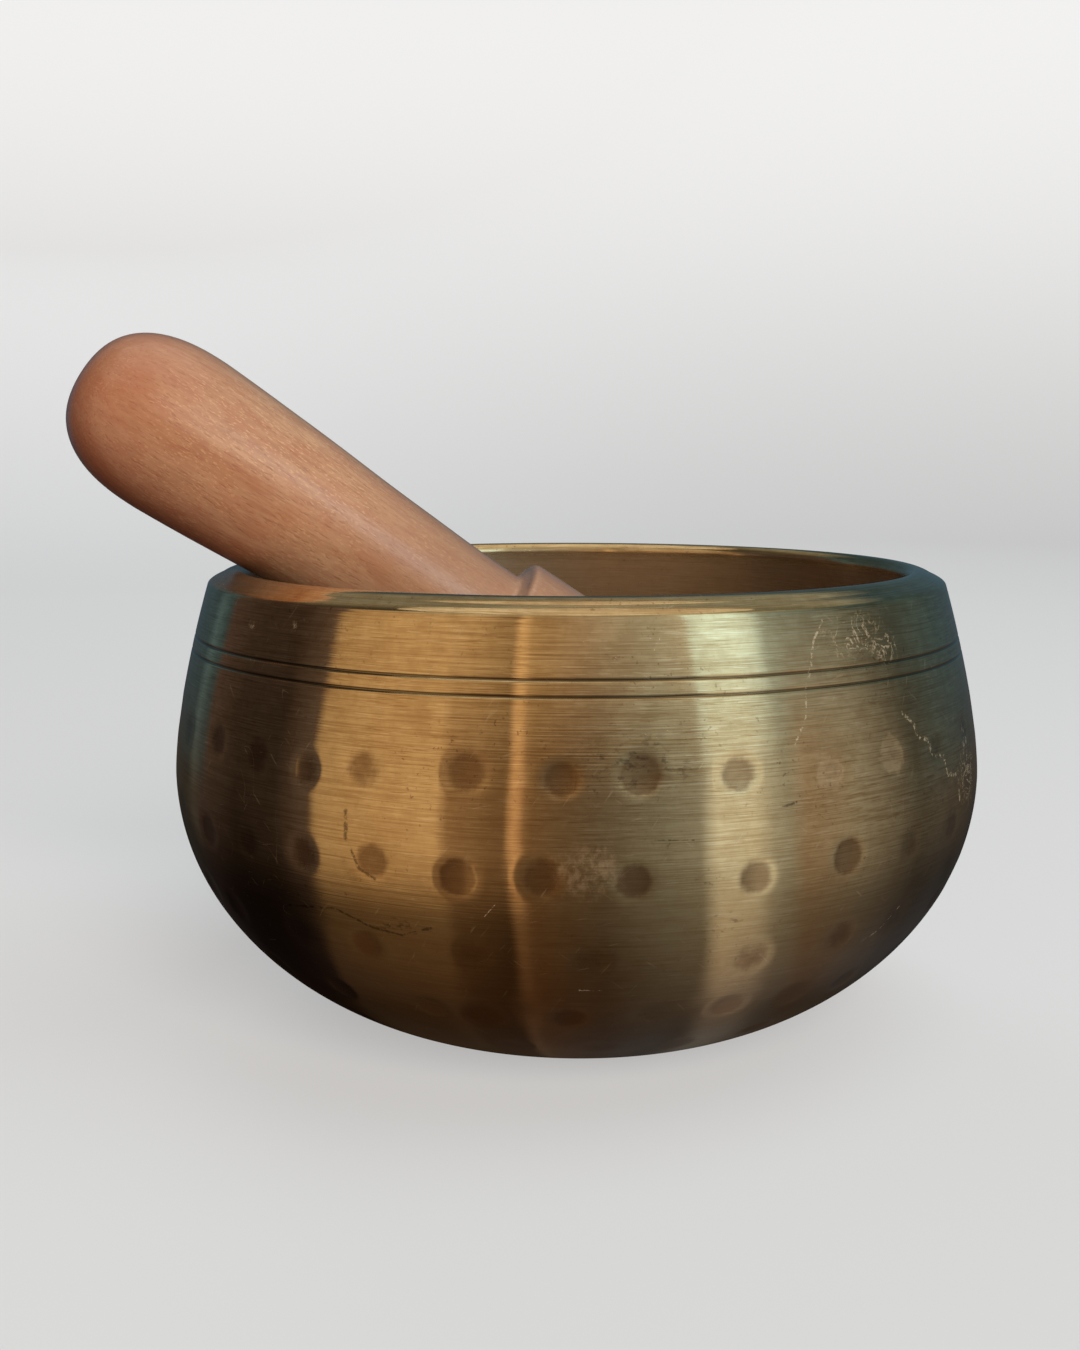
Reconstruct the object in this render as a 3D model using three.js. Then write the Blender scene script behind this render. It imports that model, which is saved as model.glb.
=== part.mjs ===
// Singing bowl with its mallet.
//
// The bowl is one thick piece of brass: a flat standing face, a round belly, a wall that draws in towards the mouth,
// two fine turned grooves and a bevelled lip. The mallet is one turned piece of hardwood: a thick rounded head that
// tapers to a neck, a short steep shoulder and a straight tail. It leans on the lip with its tail down in the bowl.
//
// Millimetres, +Z up, origin at the centre of the standing face. The mallet's head points to -X.

import * as THREE from 'three';

// Bowl, outside
const FOOT_RADIUS = 24;          // flat standing face
const FOOT_RISE = 10;            // degrees, slope of the wall where it leaves the foot
const FOOT_REACH = 20.5;         // how far that slope carries before the wall turns up
const BELLY_RADIUS = 60;         // widest place
const BELLY_HEIGHT = 38.3;
const BELLY_REACH = 18.4;        // how far below the belly the wall stays steep
const SHOULDER_RADIUS = 54.4;    // outer corner of the lip
const SHOULDER_HEIGHT = 66.2;
const CORNER_ROUNDING = 0.7;
const WALL_CURVE = 1.54;         // power by which the wall draws in above the belly

// Bowl, lip and inside
const LIP_RADIUS = 50.5;         // circle along the lip's highest line
const LIP_HEIGHT = 67.7;
const LIP_CROWN = 0.65;          // height of the bevel's middle, from 0 at its outer corner to 1 at its top
const MOUTH_RADIUS = 48.9;       // inside wall just below the lip
const MOUTH_HEIGHT = 66.1;
const MOUTH_LEAN = 2.6;          // how far the inside wall leans out over the next MOUTH_REACH down
const MOUTH_REACH = 10;
const INNER_BELLY_RADIUS = 56;
const FLOOR_THICKNESS = 4.5;
const FLOOR_RADIUS = 20;         // flat part of the floor
const FLOOR_REACH = 19.5;        // how far the floor stays nearly flat beyond that
const INNER_BELLY_REACH = 17;    // how far below the belly the inside wall stays steep

// Bowl, turned grooves
const GROOVE_HEIGHTS = [56.55, 58.5];
const GROOVE_DEPTH = 0.35;
const GROOVE_WIDTH = 0.7;

// Mallet, measured along its own axis from the neck: the head is on the plus side and the tail on the minus side
const NECK_RADIUS = 9.4;
const HEAD_RADIUS = 12.5;
const HEAD_SWELL = [-0.12, 1.2];  // where the swelling starts and stops, as parts of the head's length
const HEAD_LENGTH = 68.2;
const HEAD_END_LENGTH = 16;      // rounded end of the head
const HEAD_END_SHARPNESS = 2.5;  // 2 is an ellipse, more is squarer
const TAIL_RADIUS = 12.65;
const TAIL_LENGTH = 71;
const STEP_LENGTH = 1.2;         // steep step from the neck up to the tail
const STEP_ROUNDING = 0.8;
const TAIL_END_ROUNDING = 5;

// Mallet, how it leans
const NECK_PLACE = new THREE.Vector3(-13.5, -4.1, 57.95);
const MALLET_SLOPE = 33.5;       // degrees above the horizontal
const MALLET_HEADING = 189.8;    // degrees from +X, anticlockwise seen from above

const AROUND_BOWL = 72;
const AROUND_MALLET = 40;

const radians = THREE.MathUtils.degToRad;
const v2 = (x, y) => new THREE.Vector2(x, y);

// Outer radius of the wall at a height between the belly and the lip.
function wallRadius(height) {
  const climb = (height - BELLY_HEIGHT) / (SHOULDER_HEIGHT - BELLY_HEIGHT);
  return BELLY_RADIUS - (BELLY_RADIUS - SHOULDER_RADIUS) * Math.pow(climb, WALL_CURVE);
}

// Outline of the wall above the belly, with a V cut at each groove.
function wallOutline() {
  const step = (SHOULDER_HEIGHT - BELLY_HEIGHT) / 8;
  const heights = [1, 2, 3, 4, 5, 7, 8].map((i) => BELLY_HEIGHT + i * step);
  const points = heights.map((height) => v2(wallRadius(height), height));
  for (const middle of GROOVE_HEIGHTS) {
    for (const side of [-1, 0, 1]) {
      const height = middle + side * GROOVE_WIDTH / 2;
      const depth = side === 0 ? GROOVE_DEPTH : 0;
      points.push(v2(wallRadius(height) - depth, height));
    }
  }
  return points.sort((a, b) => a.y - b.y);
}

// Closed outline of the bowl, from the axis under the foot, up the outside, over the lip and down the inside.
function bowlOutline() {
  const outside = new THREE.CubicBezierCurve(
    v2(FOOT_RADIUS, 0),
    v2(FOOT_RADIUS + FOOT_REACH, FOOT_REACH * Math.tan(radians(FOOT_RISE))),
    v2(BELLY_RADIUS, BELLY_HEIGHT - BELLY_REACH),
    v2(BELLY_RADIUS, BELLY_HEIGHT),
  );
  const corner = v2(SHOULDER_RADIUS - CORNER_ROUNDING, SHOULDER_HEIGHT + CORNER_ROUNDING);
  const lip = [
    corner,
    v2((corner.x + LIP_RADIUS) / 2, corner.y + (LIP_HEIGHT - corner.y) * LIP_CROWN),
    v2(LIP_RADIUS, LIP_HEIGHT),
  ];
  for (const turn of [30, 60, 90].map(radians)) {
    lip.push(v2(
      LIP_RADIUS - (LIP_RADIUS - MOUTH_RADIUS) * Math.sin(turn),
      MOUTH_HEIGHT + (LIP_HEIGHT - MOUTH_HEIGHT) * Math.cos(turn),
    ));
  }
  const insideWall = new THREE.CubicBezierCurve(
    v2(MOUTH_RADIUS, MOUTH_HEIGHT),
    v2(MOUTH_RADIUS + MOUTH_LEAN, MOUTH_HEIGHT - MOUTH_REACH),
    v2(INNER_BELLY_RADIUS, BELLY_HEIGHT + MOUTH_REACH),
    v2(INNER_BELLY_RADIUS, BELLY_HEIGHT),
  );
  const insideFloor = new THREE.CubicBezierCurve(
    v2(INNER_BELLY_RADIUS, BELLY_HEIGHT),
    v2(INNER_BELLY_RADIUS, BELLY_HEIGHT - INNER_BELLY_REACH),
    v2(FLOOR_RADIUS + FLOOR_REACH, FLOOR_THICKNESS),
    v2(FLOOR_RADIUS, FLOOR_THICKNESS),
  );
  return [
    v2(0, 0),
    ...outside.getPoints(12),
    ...wallOutline(),
    ...lip,
    ...insideWall.getPoints(6).slice(1),
    ...insideFloor.getPoints(12).slice(1),
    v2(0, FLOOR_THICKNESS),
  ];
}

// Radius of the mallet's head at a distance from the neck, before its rounded end.
function headRadius(distance) {
  const along = distance / (HEAD_LENGTH - HEAD_END_LENGTH);
  return NECK_RADIUS + (HEAD_RADIUS - NECK_RADIUS) * THREE.MathUtils.smoothstep(along, ...HEAD_SWELL);
}

// Outline of the mallet, from the middle of the tail's end to the middle of the head's end.
function malletOutline() {
  const tailEnd = -TAIL_LENGTH;
  const points = [v2(0, tailEnd)];
  for (let i = 0; i <= 5; i += 1) {
    const turn = (i / 5) * Math.PI / 2;
    points.push(v2(
      TAIL_RADIUS - TAIL_END_ROUNDING * (1 - Math.sin(turn)),
      tailEnd + TAIL_END_ROUNDING * (1 - Math.cos(turn)),
    ));
  }
  points.push(v2(TAIL_RADIUS, -STEP_LENGTH - STEP_ROUNDING));
  points.push(v2(TAIL_RADIUS - STEP_ROUNDING / 3, -STEP_LENGTH - STEP_ROUNDING / 3));
  points.push(v2(NECK_RADIUS + STEP_ROUNDING / 3, -STEP_ROUNDING / 3));

  const straight = HEAD_LENGTH - HEAD_END_LENGTH;
  const neckEnd = STEP_ROUNDING / 2;
  for (let i = 0; i <= 9; i += 1) {
    const distance = neckEnd + (i / 9) * (straight - neckEnd);
    points.push(v2(headRadius(distance), distance));
  }
  for (let i = 1; i <= 10; i += 1) {
    const turn = (i / 10) * Math.PI / 2;
    const power = 2 / HEAD_END_SHARPNESS;
    points.push(v2(
      i === 10 ? 0 : headRadius(straight) * Math.pow(Math.cos(turn), power),
      straight + HEAD_END_LENGTH * Math.pow(Math.sin(turn), power),
    ));
  }
  return points;
}

// Brass, turned and tarnished.
function makeBowl() {
  const geometry = new THREE.LatheGeometry(bowlOutline(), AROUND_BOWL);
  geometry.rotateX(Math.PI / 2);
  const material = new THREE.MeshStandardMaterial({ color: 0x8d713f, roughness: 0.35, metalness: 1 });
  const bowl = new THREE.Mesh(geometry, material);
  bowl.name = 'bowl';
  return bowl;
}

// Hardwood, turned and satin varnished.
function makeMallet() {
  const geometry = new THREE.LatheGeometry(malletOutline(), AROUND_MALLET);
  const material = new THREE.MeshStandardMaterial({ color: 0xae8161, roughness: 0.55, metalness: 0 });
  const mallet = new THREE.Mesh(geometry, material);
  mallet.name = 'mallet';
  const slope = radians(MALLET_SLOPE);
  const heading = radians(MALLET_HEADING);
  const towardsHead = new THREE.Vector3(
    Math.cos(slope) * Math.cos(heading),
    Math.cos(slope) * Math.sin(heading),
    Math.sin(slope),
  );
  mallet.quaternion.setFromUnitVectors(new THREE.Vector3(0, 1, 0), towardsHead);
  mallet.position.copy(NECK_PLACE);
  return mallet;
}

const group = new THREE.Group();
group.add(makeBowl(), makeMallet());

export default group;
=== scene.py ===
"""Looks of the singing bowl and its mallet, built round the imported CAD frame.

The bowl is turned afresh as a fine mesh with its hammer dents, grooves and slightly uneven wall, and the mallet as a
fine turned piece of hardwood. Shapes are worked out in millimetres and stored in metres, in the frame's own place.
"""

import math

import bpy
import numpy as np
from mathutils import Matrix, Vector, noise


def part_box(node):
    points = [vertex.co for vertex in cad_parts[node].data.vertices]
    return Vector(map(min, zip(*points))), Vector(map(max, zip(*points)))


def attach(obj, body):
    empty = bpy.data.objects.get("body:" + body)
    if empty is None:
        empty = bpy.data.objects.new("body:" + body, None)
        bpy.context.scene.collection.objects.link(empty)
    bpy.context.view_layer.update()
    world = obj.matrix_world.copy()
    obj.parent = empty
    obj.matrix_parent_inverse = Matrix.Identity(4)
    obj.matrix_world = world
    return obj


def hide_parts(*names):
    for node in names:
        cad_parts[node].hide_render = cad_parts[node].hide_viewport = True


MM = 0.001

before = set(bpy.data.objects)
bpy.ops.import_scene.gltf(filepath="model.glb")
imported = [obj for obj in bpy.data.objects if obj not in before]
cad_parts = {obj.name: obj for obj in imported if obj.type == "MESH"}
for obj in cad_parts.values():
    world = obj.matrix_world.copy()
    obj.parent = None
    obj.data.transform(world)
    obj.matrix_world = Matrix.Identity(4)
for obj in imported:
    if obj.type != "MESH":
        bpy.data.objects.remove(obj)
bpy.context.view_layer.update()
_, bowl_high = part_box("bowl")

# ---------------------------------------------------------------- sizes, in millimetres

# Bowl, outside. The widest radius and the full height come from the frame.
BELLY_RADIUS = bowl_high.x / MM
LIP_HEIGHT = bowl_high.z / MM
BELLY_HEIGHT = 38.3
BELLY_REACH = 18.4
FOOT_RADIUS = 24
FOOT_RISE = math.radians(10)
FOOT_REACH = 20.5
SHOULDER_RADIUS = 54.4
SHOULDER_HEIGHT = 66.2
CORNER_ROUNDING = 1.6
WALL_CURVE = 1.54
CORNER_START = SHOULDER_HEIGHT - 0.55

# Bowl, lip and inside
LIP_RADIUS = 50.5
LIP_CROWN = 0.18
MOUTH_RADIUS = 48.9
MOUTH_HEIGHT = 66.1
MOUTH_LEAN = 2.6
MOUTH_REACH = 10
INNER_BELLY_RADIUS = 56
INNER_BELLY_REACH = 17
FLOOR_THICKNESS = 4.5
FLOOR_RADIUS = 20
FLOOR_REACH = 19.5

# Turned grooves
GROOVE_HEIGHTS = (56.55, 58.5)
GROOVE_DEPTH = 0.2
GROOVE_HALF = 0.24

# Hammer dents, row by row: height, number round the bowl, and those at the front as (degrees, how dark and deep).
# Dents further round are spaced evenly with a little unevenness.
DENT_ROWS = (
    (47.2, 33, ((-42.6, 0.6), (-33.8, 0.6), (-25.4, 0.6), (-12.3, 0.9), (-1.4, 1.15), (7.5, 1.4), (19.0, 0.9),
                (31.6, 0.28), (42.3, 0.25), (52.5, 0.4), (64.0, 0.6))),
    (35.4, 32, ((-44.0, 0.5), (-34.0, 0.6), (-23.8, 0.9), (-13.2, 1.25), (-3.6, 0.8), (6.7, 1.0), (21.2, 0.9),
                (34.0, 1.1), (46.0, 0.4), (57.0, 0.5))),
    (24.4, 30, ((-38.0, 0.4), (-26.5, 0.8), (-12.0, 0.35), (2.0, 0.4), (22.5, 0.5), (35.9, 0.6), (47.0, 0.4))),
    (15.5, 30, ((-36.2, 0.6), (-20.3, 0.7), (-12.4, 0.8), (-0.5, 0.8), (11.0, 0.4), (21.9, 0.9), (33.0, 0.5))),
    (8.7, 24, ((-25.0, 0.3), (-10.0, 0.3), (4.0, 0.3), (18.0, 0.3))),
)
DENT_RADIUS = 2.8
DENT_DEPTH = 0.17
DENT_STRAY = 1.3                 # spread of the dents along their row, in degrees
DENT_RISE = 0.4                  # spread of their heights
DENT_STRENGTHS = (0.35, 1.1)     # weakest and strongest, as shares of the depth
DENT_SIZES = (0.88, 1.12)        # smallest and largest, as shares of the radius

# Unevenness left by the hammering and turning: length of the humps, seed, height
WALL_WAVES = ((17, 3.0, 0.06), (7, 9.0, 0.008))
WALL_INSET = 0.06                # keeps the humps inside the true outline
WALL_WAVES_INSIDE = 0.5          # share of the waves on the inside

AROUND_BOWL = 480
BOWL_STEP = 0.5                  # spacing of the outline's points on the outside
GROOVE_STEP = 0.09
INSIDE_STEP = 0.95

# Mallet, along its own axis from the neck
NECK_RADIUS = 9.4
HEAD_RADIUS = 12.5
HEAD_SWELL = (-0.12, 1.2)
HEAD_LENGTH = 68.2
HEAD_END_LENGTH = 16
HEAD_END_SHARPNESS = 2.5
TAIL_RADIUS = 12.65
TAIL_LENGTH = 71
STEP_LENGTH = 1.2
STEP_ROUNDING = 0.8
TAIL_END_ROUNDING = 5
NECK_PLACE = Vector((-13.5, -4.1, 57.95))
MALLET_SLOPE = math.radians(33.5)
MALLET_HEADING = math.radians(189.8)
AROUND_MALLET = 144
MALLET_STEP = 0.6
MALLET_WAVES = (14, 5.0, 0.1)    # length of the humps, seed, height
MALLET_INSET = 0.06


# ---------------------------------------------------------------- small geometry helpers

def bezier(points, count):
    """Points along a cubic curve, without its first point."""
    t = np.linspace(0, 1, count + 1)[1:, None]
    p0, p1, p2, p3 = (np.array(p, float) for p in points)
    return (1 - t) ** 3 * p0 + 3 * (1 - t) ** 2 * t * p1 + 3 * (1 - t) * t * t * p2 + t ** 3 * p3


def respace(points, step):
    """The same outline with points about one step apart."""
    points = np.array(points, float)
    run = np.r_[0, np.cumsum(np.hypot(*np.diff(points, axis=0).T))]
    count = max(2, int(round(run[-1] / step)) + 1)
    at = np.linspace(0, run[-1], count)
    return np.c_[np.interp(at, run, points[:, 0]), np.interp(at, run, points[:, 1])]


def lathe(name, radius, height, around):
    """A turned mesh. radius and height are arrays of (row, around); the first and last rows are poles."""
    rows = radius.shape[0]
    angle = np.linspace(0, 2 * math.pi, around, endpoint=False)
    ring = np.stack([radius * np.cos(angle), radius * np.sin(angle), height], axis=-1)
    inner = ring[1:-1].reshape(-1, 3)
    first = [0, 0, height[0].mean()]
    last = [0, 0, height[-1].mean()]
    vertices = np.vstack([[first], inner, [last]]) * MM
    faces = []
    here = np.arange(around)
    there = np.roll(here, -1)
    for j in here:
        faces.append((0, 1 + int(there[j]), 1 + int(here[j])))
    for row in range(rows - 3):
        a = 1 + row * around
        b = a + around
        faces.extend(
            (a + int(i), a + int(k), b + int(k), b + int(i)) for i, k in zip(here, there)
        )
    top = len(vertices) - 1
    a = 1 + (rows - 3) * around
    for j in here:
        faces.append((a + int(here[j]), a + int(there[j]), top))
    mesh = bpy.data.meshes.new(name)
    mesh.from_pydata(vertices.tolist(), [], faces)
    mesh.shade_smooth()
    mesh.update()
    piece = bpy.data.objects.new(name, mesh)
    bpy.context.scene.collection.objects.link(piece)
    return piece


def store(piece, name, values, around):
    """Keeps a value for each vertex of a turned mesh, from an array of (row, around)."""
    flat = np.r_[values[0].mean(), values[1:-1].ravel(), values[-1].mean()].astype(np.float32)
    layer = piece.data.attributes.new(name, "FLOAT", "POINT")
    layer.data.foreach_set("value", flat)


def ripple(radius, height, around, length, seed):
    """Smooth uneven values over a turned surface, about -1 to 1, with humps of about the given length."""
    angle = np.linspace(0, 2 * math.pi, around, endpoint=False)
    out = np.empty(radius.shape)
    for row in range(radius.shape[0]):
        x = radius[row] * np.cos(angle) / length
        y = radius[row] * np.sin(angle) / length
        z = height[row] / length + seed
        out[row] = [noise.noise(Vector(p)) for p in zip(x, y, z)]
    return out


# ---------------------------------------------------------------- bowl

def wall_radius(height):
    """Outer radius between the belly and the lip."""
    climb = (height - BELLY_HEIGHT) / (SHOULDER_HEIGHT - BELLY_HEIGHT)
    return BELLY_RADIUS - (BELLY_RADIUS - SHOULDER_RADIUS) * climb ** WALL_CURVE


def outside_outline():
    """From the axis under the foot up to the outer corner of the lip."""
    foot = respace([(0, 0), (FOOT_RADIUS, 0)], 1.5)
    lower = bezier(
        [
            (FOOT_RADIUS, 0),
            (FOOT_RADIUS + FOOT_REACH, FOOT_REACH * math.tan(FOOT_RISE)),
            (BELLY_RADIUS, BELLY_HEIGHT - BELLY_REACH),
            (BELLY_RADIUS, BELLY_HEIGHT),
        ],
        400,
    )
    lower = respace(np.vstack([[(FOOT_RADIUS, 0)], lower]), BOWL_STEP)[1:]
    heights = set(np.arange(BELLY_HEIGHT + BOWL_STEP, SHOULDER_HEIGHT, BOWL_STEP).round(4))
    reach = GROOVE_HALF * 2.4
    for middle in GROOVE_HEIGHTS:
        heights = {h for h in heights if abs(h - middle) > reach and h < CORNER_START}
    for middle in GROOVE_HEIGHTS:
        heights |= set(np.arange(middle - reach, middle + reach + 1e-6, GROOVE_STEP).round(4))
    heights = np.array(sorted(heights))
    wall = np.c_[wall_radius(heights), heights]
    return np.vstack([foot, lower, wall])


def lip_outline():
    """From the outer corner, over the crowned bevel and the highest line, round into the mouth."""
    start = np.array([wall_radius(CORNER_START), CORNER_START])
    corner = np.array([SHOULDER_RADIUS, SHOULDER_HEIGHT])
    bevel_start = np.array([SHOULDER_RADIUS - CORNER_ROUNDING, SHOULDER_HEIGHT + CORNER_ROUNDING * 0.42])
    end = np.array([LIP_RADIUS, LIP_HEIGHT])
    rounding = bezier([start, start + (corner - start) * 0.75, corner + (bevel_start - corner) * 0.35, bevel_start], 12)
    t = np.linspace(0, 1, 14)[1:-1, None]
    bevel = bevel_start + (end - bevel_start) * t
    bevel[:, 1] += LIP_CROWN * 4 * (t * (1 - t))[:, 0]
    turn = np.radians(np.linspace(0, 90, 13))
    mouth = np.c_[
        LIP_RADIUS - (LIP_RADIUS - MOUTH_RADIUS) * np.sin(turn),
        MOUTH_HEIGHT + (LIP_HEIGHT - MOUTH_HEIGHT) * np.cos(turn),
    ]
    return np.vstack([rounding, bevel, mouth])


def inside_outline():
    """From just below the mouth down to the middle of the floor."""
    wall = bezier(
        [
            (MOUTH_RADIUS, MOUTH_HEIGHT),
            (MOUTH_RADIUS + MOUTH_LEAN, MOUTH_HEIGHT - MOUTH_REACH),
            (INNER_BELLY_RADIUS, BELLY_HEIGHT + MOUTH_REACH),
            (INNER_BELLY_RADIUS, BELLY_HEIGHT),
        ],
        200,
    )
    floor = bezier(
        [
            (INNER_BELLY_RADIUS, BELLY_HEIGHT),
            (INNER_BELLY_RADIUS, BELLY_HEIGHT - INNER_BELLY_REACH),
            (FLOOR_RADIUS + FLOOR_REACH, FLOOR_THICKNESS),
            (FLOOR_RADIUS, FLOOR_THICKNESS),
        ],
        300,
    )
    line = np.vstack([[(MOUTH_RADIUS, MOUTH_HEIGHT)], wall, floor, [(0, FLOOR_THICKNESS)]])
    return respace(line, INSIDE_STEP)[1:]


def dent_map(run_at, radius, height, angle):
    """How far each vertex lies inside a hammer dent, as a share of DENT_DEPTH: most in its middle, 0 outside it and a
    little below 0 on its raised edge."""
    out = np.zeros(radius.shape)
    random = np.random.default_rng(11)
    for row_height, count, front in DENT_ROWS:
        spacing = 360 / count
        start, end = front[-1][0], 360 + front[0][0]
        between = max(1, round((end - start) / spacing))
        further = [
            (start + (end - start) * i / between + random.normal(0, DENT_STRAY), random.uniform(*DENT_STRENGTHS))
            for i in range(1, between)
        ]
        for degrees, depth in (*front, *further):
            turn = math.radians(degrees) - math.pi / 2
            place = row_height + random.normal(0, DENT_RISE)
            size = DENT_RADIUS * random.uniform(*DENT_SIZES)
            row = int(np.argmin(np.abs(height[: len(run_at), 0] - place)))
            ring = radius[row, 0]
            along = run_at - run_at[row]
            near = np.abs(along) < size * 2
            across = np.angle(np.exp(1j * (angle - turn))) * ring
            columns = np.abs(across) < size * 2
            reach = np.hypot(along[near][:, None], across[columns][None, :]) / size
            dip = np.clip(1 - reach ** 2.4, 0, 1) ** 1.15
            edge = np.exp(-((reach - 1.14) / 0.2) ** 2) * 0.06
            rows = np.nonzero(near)[0]
            block = np.ix_(rows, np.nonzero(columns)[0])
            out[block] = np.where(np.abs(out[block]) > 0.02, out[block], depth * (dip - edge))
    return out


def make_bowl():
    outside = outside_outline()
    lip = lip_outline()
    line = np.vstack([outside, lip, inside_outline()])
    run = np.r_[0, np.cumsum(np.hypot(*np.diff(line, axis=0).T))]
    angle = np.linspace(0, 2 * math.pi, AROUND_BOWL, endpoint=False)
    radius = np.repeat(line[:, :1], AROUND_BOWL, axis=1)
    height = np.repeat(line[:, 1:], AROUND_BOWL, axis=1)

    tangent = np.gradient(line, axis=0)
    tangent /= np.hypot(*tangent.T)[:, None]
    out_r = tangent[:, 1][:, None]
    out_z = -tangent[:, 0][:, None]

    is_outside = np.arange(len(line)) < len(outside)
    foot_fade = np.clip((run - FOOT_RADIUS) / 6, 0, 1)
    lip_fade = np.clip((run[len(outside)] - run) / 8, 0, 1)
    outer = (np.where(is_outside, foot_fade * lip_fade, 0.0))[:, None]

    dents = np.zeros(radius.shape)
    count = len(outside)
    dents[:count] = dent_map(run[:count], radius[:count], height[:count], angle)
    groove = np.zeros(len(line))
    for middle in GROOVE_HEIGHTS:
        groove = np.maximum(groove, np.clip(1 - np.abs(line[:, 1] - middle) / GROOVE_HALF, 0, 1))
    groove *= is_outside

    waves = sum(ripple(radius, height, AROUND_BOWL, length, seed) * size for length, seed, size in WALL_WAVES)
    push = outer * (waves - WALL_INSET) - DENT_DEPTH * dents * outer - GROOVE_DEPTH * groove[:, None]
    inner_waves = np.where(is_outside, 0.0, np.clip((run - run[len(outside) + len(lip)]) / 8, 0, 1))
    push = push + inner_waves[:, None] * waves * WALL_WAVES_INSIDE
    radius = radius + out_r * push
    height = height + out_z * push

    bowl = lathe("bowl_turned", radius, height, AROUND_BOWL)
    along = np.repeat(run[:, None], AROUND_BOWL, axis=1)
    store(bowl, "along", along, AROUND_BOWL)
    store(bowl, "dent", np.clip(dents, -0.2, 1), AROUND_BOWL)
    store(bowl, "groove", np.repeat(groove[:, None], AROUND_BOWL, axis=1), AROUND_BOWL)
    inside = np.clip((run - run[len(outside) + len(lip) - 6]) / 2.5, 0, 1)
    store(bowl, "inside", np.repeat(inside[:, None], AROUND_BOWL, axis=1), AROUND_BOWL)
    return bowl


# ---------------------------------------------------------------- mallet

def smooth_step(value, low, high):
    t = np.clip((value - low) / (high - low), 0, 1)
    return t * t * (3 - 2 * t)


def head_radius(distance):
    part = distance / (HEAD_LENGTH - HEAD_END_LENGTH)
    return NECK_RADIUS + (HEAD_RADIUS - NECK_RADIUS) * smooth_step(part, *HEAD_SWELL)


def mallet_outline():
    """From the middle of the tail's end to the middle of the head's end, as (radius, distance from the neck)."""
    end = -TAIL_LENGTH
    turn = np.linspace(0, math.pi / 2, 24)
    tail_end = np.c_[
        TAIL_RADIUS - TAIL_END_ROUNDING * (1 - np.sin(turn)),
        end + TAIL_END_ROUNDING * (1 - np.cos(turn)),
    ]
    tail = respace(np.vstack([[(0, end)], tail_end, [(TAIL_RADIUS, -STEP_LENGTH - STEP_ROUNDING)]]), MALLET_STEP)
    step = bezier(
        [
            (TAIL_RADIUS, -STEP_LENGTH - STEP_ROUNDING),
            (TAIL_RADIUS, -STEP_LENGTH + 0.1),
            (TAIL_RADIUS - 0.3, -STEP_LENGTH + 0.35),
            ((TAIL_RADIUS + NECK_RADIUS) / 2, -STEP_LENGTH / 2 - 0.05),
        ],
        8,
    )
    straight = HEAD_LENGTH - HEAD_END_LENGTH
    neck = bezier(
        [
            ((TAIL_RADIUS + NECK_RADIUS) / 2, -STEP_LENGTH / 2 - 0.05),
            (NECK_RADIUS + 0.5, -0.2),
            (head_radius(0.1), -0.15),
            (head_radius(0.9), 0.9),
        ],
        8,
    )
    at = np.linspace(0.9, straight, 100)[1:]
    head = np.c_[head_radius(at), at]
    turn = np.linspace(0, math.pi / 2, 200)[1:]
    power = 2 / HEAD_END_SHARPNESS
    end_cap = np.c_[
        head_radius(straight) * np.abs(np.cos(turn)) ** power,
        straight + HEAD_END_LENGTH * np.sin(turn) ** power,
    ]
    end_cap[-1, 0] = 0
    return np.vstack([tail, step, neck, respace(np.vstack([head, end_cap]), MALLET_STEP)[1:]])


def make_mallet():
    line = mallet_outline()
    run = np.r_[0, np.cumsum(np.hypot(*np.diff(line, axis=0).T))]
    radius = np.repeat(line[:, :1], AROUND_MALLET, axis=1)
    height = np.repeat(line[:, 1:], AROUND_MALLET, axis=1)
    fade = np.clip(np.minimum(run, run[-1] - run) / 4, 0, 1)[:, None]
    length, seed, size = MALLET_WAVES
    radius = radius + fade * (ripple(radius, height, AROUND_MALLET, length, seed) * size - MALLET_INSET)
    mallet = lathe("mallet_turned", radius, height, AROUND_MALLET)
    own = np.empty(len(mallet.data.vertices) * 3, np.float32)
    mallet.data.vertices.foreach_get("co", own)
    layer = mallet.data.attributes.new("own_place", "FLOAT_VECTOR", "POINT")
    layer.data.foreach_set("vector", own / MM)
    towards_head = Vector((
        math.cos(MALLET_SLOPE) * math.cos(MALLET_HEADING),
        math.cos(MALLET_SLOPE) * math.sin(MALLET_HEADING),
        math.sin(MALLET_SLOPE),
    ))
    turn = Vector((0, 0, 1)).rotation_difference(towards_head)
    mallet.data.transform(Matrix.Translation(NECK_PLACE * MM) @ turn.to_matrix().to_4x4())
    mallet.data.update()
    return mallet


# ---------------------------------------------------------------- material helpers

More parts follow.
